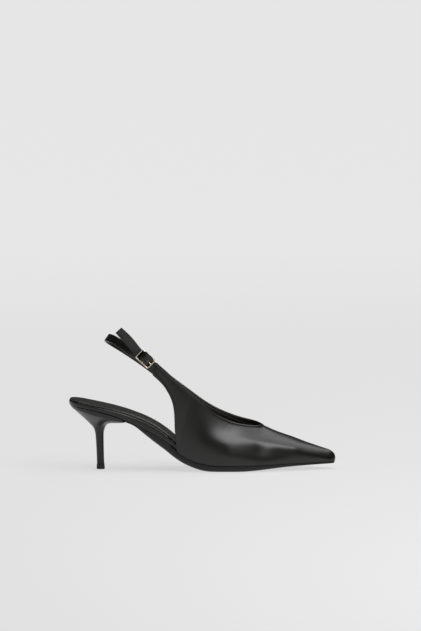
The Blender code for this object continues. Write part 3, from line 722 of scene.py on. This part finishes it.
class UpperSide:
    """One side of the upper: ribs from the sole or strap edge up to the ridge or topline."""

    def __init__(self, outer, ribs, strap, topline):
        self.outer = outer
        self.turn = -1.0 if outer else 1.0
        sole_rows = VAMP_RIBS + ribs
        self.corner = len(sole_rows) - 1
        self.throat = len(VAMP_RIBS) - 1
        self.last = self.corner + len(strap)
        self.ridge = SmoothCurve([row[1:4] for row in VAMP_RIBS])
        self.topline = topline
        self.stations = SmoothCurve([row[:1] for row in sole_rows])
        handles = [self.sole_handles(row) for row in sole_rows]
        self.lower = SmoothCurve([low for low, _third in handles])
        self.third = SmoothCurve([third for _low, third in handles])
        corner_foot = self.sole_foot(sole_rows[-1][0])
        corner_handles = (*handles[-1][0], *(handles[-1][1] - np.array(sole_rows[-1][1:4])))
        self.back_edge = SmoothCurve([tuple(corner_foot)] + [row[:3] for row in strap])
        self.bows = SmoothCurve([corner_handles] + [self.strap_handles(row) for row in strap])

    def sole_foot(self, station):
        point, _normal, heights = outline_at(station, self.outer)
        return np.array((*point, heights["welt"] + GAP))

    def sole_handles(self, row):
        """A rib's second Bezier point from its foot, and its third point."""
        station, *top, heading, belly, rise, crown, drop, roll = row
        angle = math.radians(heading)
        outward = np.array((math.cos(angle), self.turn * math.sin(angle), 0.0))
        lean = RIB_LEAN * math.sin(angle) * (top[0] - self.sole_foot(station)[0])
        low = outward * belly + np.array((lean, 0.0, rise))
        third = np.array(top) + outward * crown - np.array((lean, 0.0, drop - self.turn * roll))
        return low, third

    def strap_handles(self, row):
        span = np.array(row[3:6]) - np.array(row[:3])
        bow = np.array((0.0, self.turn * row[6], 0.0))
        return np.concatenate((span / 3.0 + bow, bow - span / 3.0))

    def top(self, place):
        return self.ridge.at(place) if place <= self.throat else self.topline(place - self.throat)

    def rib(self, place):
        """Points of the rib at a row number, foot first, crowded towards both ends."""
        top = self.top(place)
        if place <= self.corner:
            foot = self.sole_foot(self.stations.at(place)[0])
            second, third = foot + self.lower.at(place), self.third.at(place)
        else:
            foot = self.back_edge.at(place - self.corner)
            bow = self.bows.at(place - self.corner)
            second, third = foot + bow[:3], top + bow[3:]
        length = np.linalg.norm(top - foot)
        low, high = FOOT_STEPS / length, 1.0 - EDGE_STEPS[::-1] / length
        body = np.linspace(low[-1], high[0], BODY_CELLS + 1)[1:-1]
        t = np.concatenate((low, body, high))[:, None]
        rest = 1.0 - t
        return (rest ** 3 * foot + 3.0 * rest ** 2 * t * second
                + 3.0 * rest * t ** 2 * third + t ** 3 * top)

    def places(self):
        """Row numbers of the ribs, closer together on the vamp, where the table's rows lie wider apart."""
        wide = steps_through(self.last + 1, RIB_STEPS)
        close = np.arange(VAMP_SPAN[0], VAMP_SPAN[1], 1.0 / VAMP_STEPS)
        return sorted({round(float(place), 5) for place in (*wide, *close)})


def topline_curves():
    """The topline from the outer strap's tip over the throat to the inner end, read from the throat."""
    outer = [row[1:4] for row in OUTER_RIBS] + [row[3:6] for row in OUTER_STRAP]
    inner = [row[1:4] for row in INNER_RIBS] + [row[3:6] for row in INNER_STRAP]
    curve = SmoothCurve(outer[::-1] + [VAMP_RIBS[-1][1:4]] + inner)
    middle = len(outer)
    return lambda place: curve.at(middle - place), lambda place: curve.at(middle + place)


outer_topline, inner_topline = topline_curves()
outer_side = UpperSide(True, OUTER_RIBS, OUTER_STRAP, outer_topline)
inner_side = UpperSide(False, INNER_RIBS, INNER_STRAP, inner_topline)
print("ribs drawn:", len(outer_side.places()), "outer and", len(inner_side.places()), "inner")

# %% [markdown]
# ## One sheet from two sides
# Both sides are joined along the ridge, and the slot for the prong stays open. Where vamp and quarters
# meet, the ribs turn quickly, and leather pulled over a last would even that out. So the sheet is eased
# there by smoothing, in a reach that shrinks turn by turn and leaves its border where it was.

# %% Join both sides into one leather sheet
HOLE_PLACES = (7.7, 8.3)
HOLE_SHARE = (0.32, 0.48)
# x, y and z of the middle, first and last reach, and turns
EASE = (
    (57.5, 1.5, 43.5, 52.0, 10.0, 56),
    (57.0, -27.0, 28.0, 34.0, 6.0, 120),
    (57.0, 29.0, 28.0, 34.0, 6.0, 120),
    (90.0, -15.0, 22.0, 26.0, 8.0, 20),
    (90.0, 19.0, 22.0, 26.0, 8.0, 20),
)
LINING_ROWS = 3.0
LINING_CELLS = 5
THROAT_ROOM = 2.4


def in_prong_hole(side, place, share):
    """True where the buckle's prong passes through the outer strap."""
    along = place - side.corner
    under_prong = HOLE_PLACES[0] < along < HOLE_PLACES[1] and HOLE_SHARE[0] < share < HOLE_SHARE[1]
    return side.outer and under_prong


def cells_from_edge(side, place, number, point):
    """Cells between a point and the topline; the strap counts as edge and the vamp as far from it."""
    if place > side.corner + LINING_ROWS:
        return 0
    on_vamp = place <= side.throat
    if on_vamp and (point - Vector(VAMP_RIBS[-1][1:4])).length >= THROAT_ROOM:
        return len(side.rib(place))
    return number


def upper_sheet():
    """Both sides as one sheet in millimetres, open at the topline, the back and underneath."""
    shape = bmesh.new()
    from_edge = shape.verts.layers.int.new("from_edge")
    for side in (outer_side, inner_side):
        places = side.places()
        ribs = [side.rib(place) for place in places]
        verts = [[shape.verts.new(point) for point in rib] for rib in ribs]
        for place, row in zip(places, verts):
            for number, vert in enumerate(reversed(row)):
                vert[from_edge] = cells_from_edge(side, place, number, vert.co)
        for row, (first, second) in enumerate(zip(verts, verts[1:])):
            lengths = np.linalg.norm(np.diff(ribs[row], axis=0), axis=1).cumsum()
            for cell in range(len(first) - 1):
                middle = 0.5 * (places[row] + places[row + 1])
                if in_prong_hole(side, middle, lengths[cell] / lengths[-1]):
                    continue
                corners = (first[cell], first[cell + 1], second[cell + 1], second[cell])
                shape.faces.new(corners if side.outer else corners[::-1])
    bmesh.ops.remove_doubles(shape, verts=shape.verts, dist=WELD)
    return shape


def ease_sheet(shape):
    """Even out the sheet where vamp and quarters meet, nearest to the middle of each place the most."""
    inside = [vert for vert in shape.verts if not vert.is_boundary]
    for x, y, z, first_reach, last_reach, turns in EASE:
        for reach in np.linspace(first_reach, last_reach, turns):
            near = [vert for vert in inside if (vert.co - Vector((x, y, z))).length < reach]
            bmesh.ops.smooth_vert(shape, verts=near, factor=0.5,
                                  use_axis_x=True, use_axis_y=True, use_axis_z=True)
    shape.normal_update()


sheet = upper_sheet()
ease_sheet(sheet)
print("the sheet has", len(sheet.faces), "cells")

# %% [markdown]
# ## The lining
# A thin pigskin lining covers the inside of vamp and quarters and stops short of the folded topline.
# It is the same sheet moved in by the wall's thickness, without the cells nearest to the edge, so it
# follows the leather exactly. The narrow strap has none.

# %% Line it
LINING_THICKNESS = 0.5
LINING_GAP = 0.05


def lining_mesh(shape, name):
    """The sheet without its rim, moved to the inside of the wall."""
    shape = shape.copy()
    from_edge = shape.verts.layers.int["from_edge"]
    rim = [vert for vert in shape.verts if vert[from_edge] < LINING_CELLS]
    for vert in shape.verts:
        vert.co -= vert.normal * (WALL + LINING_GAP)
    bmesh.ops.delete(shape, geom=rim, context="VERTS")
    return smooth_mesh(shape, name)


lining = add_piece("lining", lining_mesh(sheet, "lining"), "upper_leather", lining_leather)
ply = lining.modifiers.new("ply", "SOLIDIFY")
ply.thickness = LINING_THICKNESS * MM
ply.offset = -1.0

# %% [markdown]
# ## Folded edges and a soft shoulder
# The leather is turned over at topline and strap, which shows as a low bead with a groove behind it,
# fuller at the throat. The distance from the edge sets its height. Along ball and toe the last has a
# soft shoulder that holds the highlight; it pushes the leather sideways, so the ridge keeps its height.
# Solidify gives the sheet its wall, and a bevel rounds the cut edges.

# %% Fold the edges over
FOLD_HEIGHT = 0.28
FOLD_AT_THROAT = 0.50
THROAT_FADE = (14.0, 38.0)
FOLD_MIDDLE = 1.0
FOLD_SPREAD = 0.85
GROOVE_DEPTH = 0.10
GROOVE_MIDDLE = 2.9
EDGE_ROUNDING = 0.5
EDGE_ANGLE = math.radians(50.0)
EDGE_SEGMENTS = 3
EDGE_STEP = 0.04
STRAP_END_POINTS = 20
SHOULDER_START = -27.0
SHOULDER_STEP = 19.0
# height of the shoulder's middle and how far it stands out, at even steps from quarter to toe
SHOULDER = (
    (33.6, 0.0),
    (31.0, 0.0),
    (30.0, 0.40),
    (30.0, 1.10),
    (28.4, 1.70),
    (26.3, 3.40),
    (23.8, 2.60),
    (19.4, 1.00),
    (15.0, 0.0),
)
SHOULDER_SPREAD = 6.6


def edge_line(side):
    """Points along a side's topline, back edge and strap end, all of them folded edges."""
    to_end = 0.5 * EDGE_STEP
    top_places = np.arange(0.0, side.last - side.throat + to_end, EDGE_STEP)
    back_places = np.arange(0.0, side.last - side.corner + to_end, EDGE_STEP)
    top = [side.topline(place) for place in top_places]
    back = [side.back_edge.at(place) for place in back_places]
    shares = np.linspace(0.0, 1.0, STRAP_END_POINTS)
    return top + back + [back[-1] + (top[-1] - back[-1]) * share for share in shares]


def fold_lift(points, line):
    """How far each point is raised by the folded edge: a bead along it and a low groove behind."""
    away = np.sqrt(((points[:, None, :] - line[None, :, :]) ** 2).sum(axis=2).min(axis=1))
    throat = np.clip((points[:, 0] - THROAT_FADE[0]) / (THROAT_FADE[1] - THROAT_FADE[0]), 0.0, 1.0)
    height = FOLD_HEIGHT + (FOLD_AT_THROAT - FOLD_HEIGHT) * throat
    bead = height * np.exp(-((away - FOLD_MIDDLE) / FOLD_SPREAD) ** 2)
    return bead - GROOVE_DEPTH * np.exp(-((away - GROOVE_MIDDLE) / FOLD_SPREAD) ** 2)


def shoulder_lift(points):
    """How far each point is raised by the soft shoulder that runs along the ball and the toe."""
    shoulder = SmoothCurve(SHOULDER)
    places = np.clip((points[:, 0] - SHOULDER_START) / SHOULDER_STEP, 0.0, len(SHOULDER) - 1.0)
    middle, height = np.array([shoulder.at(place) for place in places]).T
    return height * np.exp(-((points[:, 2] - middle) / SHOULDER_SPREAD) ** 2)


def folded_mesh(shape, name):
    """The sheet with its edges folded and its shoulder filled; what faces up isn't raised by the latter."""
    line = np.array(edge_line(outer_side) + edge_line(inner_side))
    points = np.array([vert.co for vert in shape.verts])
    for vert, fold, shoulder in zip(shape.verts, fold_lift(points, line), shoulder_lift(points)):
        normal = vert.normal.copy()
        sideways = Vector((normal.x, normal.y, normal.z * (1.0 - abs(normal.z))))
        vert.co += normal * fold + sideways * shoulder
    return smooth_mesh(shape, name)


upper = add_piece("upper_dressed", folded_mesh(sheet, "upper_dressed"),
                  "upper_leather", upper_leather, "upper")
upper.data.materials.append(lining_leather)
wall = upper.modifiers.new("wall", "SOLIDIFY")
wall.thickness = WALL * MM
wall.offset = -1.0
wall.material_offset = 1
rim = upper.modifiers.new("rim", "BEVEL")
rim.limit_method = "ANGLE"
rim.angle_limit = EDGE_ANGLE
rim.width = EDGE_ROUNDING * MM
rim.segments = EDGE_SEGMENTS

# %% [markdown]
# ## The sling strap
# A flat strap starts inside the inner quarter, passes round the back of the heel and ends at the
# buckle's middle bar. It is a rounded band swept along its middle line. Its width always leans the
# same way, so that the strap lies against the heel like a cone and doesn't twist.

# %% Sling strap
SLING_STEPS = 14
SLING_NUDGE = 0.01
STRAP_CORNER = 0.6
STRAP_CORNER_POINTS = 4
QUARTER_TURN = 90.0


def rounded_rectangle(half_x, half_y, corner, points):
    """Points round a rectangle with rounded corners, as many on each corner as stated."""
    ring = []
    for quarter, (x, y) in enumerate(((1, 1), (-1, 1), (-1, -1), (1, -1))):
        for turn in np.linspace(0.0, QUARTER_TURN, points):
            angle = math.radians(QUARTER_TURN * quarter + turn)
            ring.append((x * (half_x - corner) + corner * math.cos(angle),
                         y * (half_y - corner) + corner * math.sin(angle)))
    return ring


def sling_frames():
    """Middle point, width direction and outward direction along the sling strap."""
    curve = SmoothCurve(SLING)
    wide = np.array((math.sin(SLING_TILT), 0.0, math.cos(SLING_TILT)))
    frames = []
    for place in steps_through(len(SLING), SLING_STEPS):
        along = curve.at(place + SLING_NUDGE) - curve.at(place - SLING_NUDGE)
        across = wide - along * (wide @ along) / (along @ along)
        across /= np.linalg.norm(across)
        outward = np.cross(across, along)
        frames.append((curve.at(place), across, outward / np.linalg.norm(outward)))
    return frames


def build_sling(name):
    section = rounded_rectangle(0.5 * STRAP_WIDTH, 0.5 * STRAP_THICKNESS, STRAP_CORNER, STRAP_CORNER_POINTS)
    rings = [[middle + across * side + outward * depth for side, depth in section]
             for middle, across, outward in sling_frames()]
    return loft(name, rings, True, True)


sling = add_piece("sling_dressed", build_sling("sling_dressed"),
                  "upper_leather", strap_leather, "sling_strap")

# %% [markdown]
# ## Buckle and prong
# The buckle is bent from wire, with a middle bar that the sling strap turns round. The wire is a tube
# swept along a rounded rectangle in the buckle's own plane; the prong is a thinner tube that hooks
# round the middle bar, comes up through the strap's hole and lies on the end bar, thinner at its tip.

# %% Buckle
WIRE_POINTS = 14
CORNER_RADIUS = 1.0
CORNER_POINTS = 7
BAR_POINTS = 5
BAR_SHARE = 0.92
CLOSED = 0.01
PRONG_RADIUS = 0.45
PRONG_STEPS = 8
PRONG_HOOK = (-80.0, -40.0, 0.0)
PRONG_RISE = ((0.9, 0.32), (2.8, 0.85))
PRONG_LANDING = (1.6, 1.22)
PRONG_OVERHANG = 0.6
PRONG_TAPER = 0.25
PRONG_POINT = (0.75, 0.35)
ACROSS = Vector((0.0, 1.0, 0.0))
OUTWARD = Vector((0.0, 0.0, 1.0))


def buckle_matrix():
    """Local X runs up the strap, local Y across it and local Z away from the shoe."""
    up_strap = Vector((-math.cos(BUCKLE_ANGLE), 0.0, math.sin(BUCKLE_ANGLE)))
    outward = Vector((0.0, -1.0, 0.0))
    turn = Matrix((up_strap, outward.cross(up_strap), outward)).transposed().to_4x4()
    return Matrix.Translation(BUCKLE_CENTRE) @ turn


def tube_rings(path, radii, side_axis):
    """Rings of a round wire along a path of local points that lies square to one axis."""
    rings = []
    for number, (point, radius) in enumerate(zip(path, radii)):
        ahead = path[min(number + 1, len(path) - 1)] - path[max(number - 1, 0)]
        up = side_axis.cross(ahead).normalized()
        turns = [2.0 * math.pi * index / WIRE_POINTS for index in range(WIRE_POINTS)]
        rings.append([point + radius * (math.cos(turn) * side_axis + math.sin(turn) * up)
                      for turn in turns])
    return rings


def frame_path():
    """The wire's middle line: a rectangle with rounded corners, closed on itself."""
    half_length = 0.5 * (BUCKLE_LENGTH - BUCKLE_BAR)
    half_width = 0.5 * (BUCKLE_WIDTH - BUCKLE_BAR)
    corners = rounded_rectangle(half_length, half_width, CORNER_RADIUS, CORNER_POINTS)
    path = [Vector((x, y, 0.0)) for x, y in corners]
    middle = (path[0] + path[-1]) * 0.5
    return [middle] + path + [middle]


def prong_path():
    """The prong's middle line: round the middle bar, up through the strap and onto the end bar."""
    reach = 0.5 * BUCKLE_BAR + GAP + PRONG_RADIUS
    end_bar = -0.5 * (BUCKLE_LENGTH - BUCKLE_BAR)
    hook = [(-reach * math.cos(turn), reach * math.sin(turn)) for turn in map(math.radians, PRONG_HOOK)]
    rise = [(-reach - along, out) for along, out in PRONG_RISE]
    rest = [(end_bar + PRONG_LANDING[0], PRONG_LANDING[1]), (end_bar - PRONG_OVERHANG, reach)]
    rows = [(along, 0.0, out) for along, out in hook + rise + rest]
    curve = SmoothCurve(rows)
    return [Vector(curve.at(place)) for place in steps_through(len(rows), PRONG_STEPS)]


def local_piece(name, ring_sets):
    """A mesh from sets of rings in the buckle's axes; a set that doesn't close on itself is capped."""
    shape = bmesh.new()
    matrix = buckle_matrix()
    for rings in ring_sets:
        verts = [[shape.verts.new(matrix @ point) for point in ring] for ring in rings]
        for first, second in zip(verts, verts[1:]):
            for index in range(WIRE_POINTS):
                following = (index + 1) % WIRE_POINTS
                shape.faces.new((first[index], first[following], second[following], second[index]))
        if (rings[0][0] - rings[-1][0]).length > CLOSED:
            shape.faces.new(verts[0])
            shape.faces.new(verts[-1])
    return solid_mesh(shape, name)


wire = 0.5 * BUCKLE_BAR
outline_path = frame_path()
bar_reach = 0.5 * (BUCKLE_WIDTH - BUCKLE_BAR)
bar_path = [ACROSS * place for place in np.linspace(-bar_reach, bar_reach, BAR_POINTS)]
frame_rings = tube_rings(outline_path, [wire] * len(outline_path), OUTWARD)
bar_rings = tube_rings(bar_path, [BAR_SHARE * wire] * len(bar_path), OUTWARD)
buckle = add_piece("buckle_dressed", local_piece("buckle_dressed", (frame_rings, bar_rings)),
                   "buckle", gilt_finish, "buckle_frame")
tongue = prong_path()
taper = [PRONG_RADIUS * (1.0 - PRONG_TAPER * number / len(tongue)) for number in range(len(tongue))]
taper[-2:] = [share * taper[-1] for share in PRONG_POINT]
prong_rings = tube_rings(tongue, taper, ACROSS)
prong = add_piece("prong_dressed", local_piece("prong_dressed", (prong_rings,)),
                  "buckle", gilt_finish, "buckle_prong")

# %% [markdown]
# ## Floor and light
# The shoe stands on one wide sheet of pale paper, so that it can be looked at from every side. The
# paper glows a little more away from the lamps, which keeps the background even. A long bank of light
# hangs on the toe's side and runs toward the camera: its reflection is the soft patch on the vamp. A
# dimmer bank carries it on behind the toe and lights the toe's upper plane. A box overhead lifts the
# top edges, and the camera's side stays dark, which keeps black leather black.

# %% Studio
FLOOR_HALF = 22.0
FLOOR_GREY = 0.17
BANK_FOOT = (0.60, -1.0, 0.0)
GLOW_NEAR = 0.59
GLOW_FAR = 0.78
GLOW_REACH = (0.4, 4.0)
SPECKLE_MM = 40.0
SPECKLE_LIGHTER = 1.02
WORLD_LIGHT = 0.06
# name, place, aim, width and length in metres, and brightness
LAMPS = (
    ("overhead_box", (-0.35, 0.10, 1.5), (-0.05, 0.0, 0.0), (1.2, 0.9), 2.0),
    ("key_bank", (0.60, -1.10, 1.00), (0.60, -1.10, 0.0), (0.66, 1.70), 5.8),
    ("toe_bank", (0.60, 0.40, 1.00), (0.60, 0.40, 0.0), (0.66, 1.30), 1.9),
)


def floor_material():
    """Pale paper whose own glow takes over where the lamps no longer reach."""
    finish = Finish("pale_paper")
    speckle = finish.cloud(SPECKLE_MM)
    grey = (FLOOR_GREY,) * 3
    lighter = (SPECKLE_LIGHTER * FLOOR_GREY,) * 3
    away = finish.node("ShaderNodeVectorMath", {"operation": "DISTANCE"},
                       {0: finish.place(), 1: BANK_FOOT}, "Value")
    far = finish.node("ShaderNodeMapRange", {"interpolation_type": "SMOOTHSTEP"},
                      {"Value": away, "From Min": GLOW_REACH[0], "From Max": GLOW_REACH[1]})
    finish.set(Base_Color=finish.tint(grey, lighter, speckle))
    finish.set(Emission_Color=finish.tint((GLOW_NEAR,) * 3, (GLOW_FAR,) * 3, far), Emission_Strength=1.0)
    finish.set(Roughness=0.9, Specular_IOR_Level=0.1)
    return finish.material


def build_floor():
    corners = [(-FLOOR_HALF, -FLOOR_HALF, 0.0), (FLOOR_HALF, -FLOOR_HALF, 0.0),
               (FLOOR_HALF, FLOOR_HALF, 0.0), (-FLOOR_HALF, FLOOR_HALF, 0.0)]
    mesh = bpy.data.meshes.new("pale_floor")
    mesh.from_pydata(corners, [], [(0, 1, 2, 3)])
    return mesh


def soft_box(name, place, aim, size, radiance):
    """A rectangular light of an even brightness, pointed at a place."""
    light = bpy.data.lights.new(name, "AREA")
    light.shape = "RECTANGLE"
    light.size, light.size_y = size
    light.energy = radiance * math.pi * size[0] * size[1]
    box = bpy.data.objects.new(name, light)
    box.location = place
    box.rotation_euler = (Vector(aim) - Vector(place)).to_track_quat("-Z", "Y").to_euler()
    bpy.context.scene.collection.objects.link(box)


floor = bpy.data.objects.new("pale_floor", build_floor())
bpy.context.scene.collection.objects.link(floor)
floor.data.materials.append(floor_material())
for lamp in LAMPS:
    soft_box(*lamp)
world = bpy.data.worlds.new("dim_studio")
world.use_nodes = True
background = world.node_tree.nodes["Background"]
background.inputs["Color"].default_value = (1.0, 1.0, 1.0, 1.0)
background.inputs["Strength"].default_value = WORLD_LIGHT
bpy.context.scene.world = world
bpy.context.scene.view_settings.view_transform = "Standard"
print("lamps:", [lamp[0] for lamp in LAMPS])
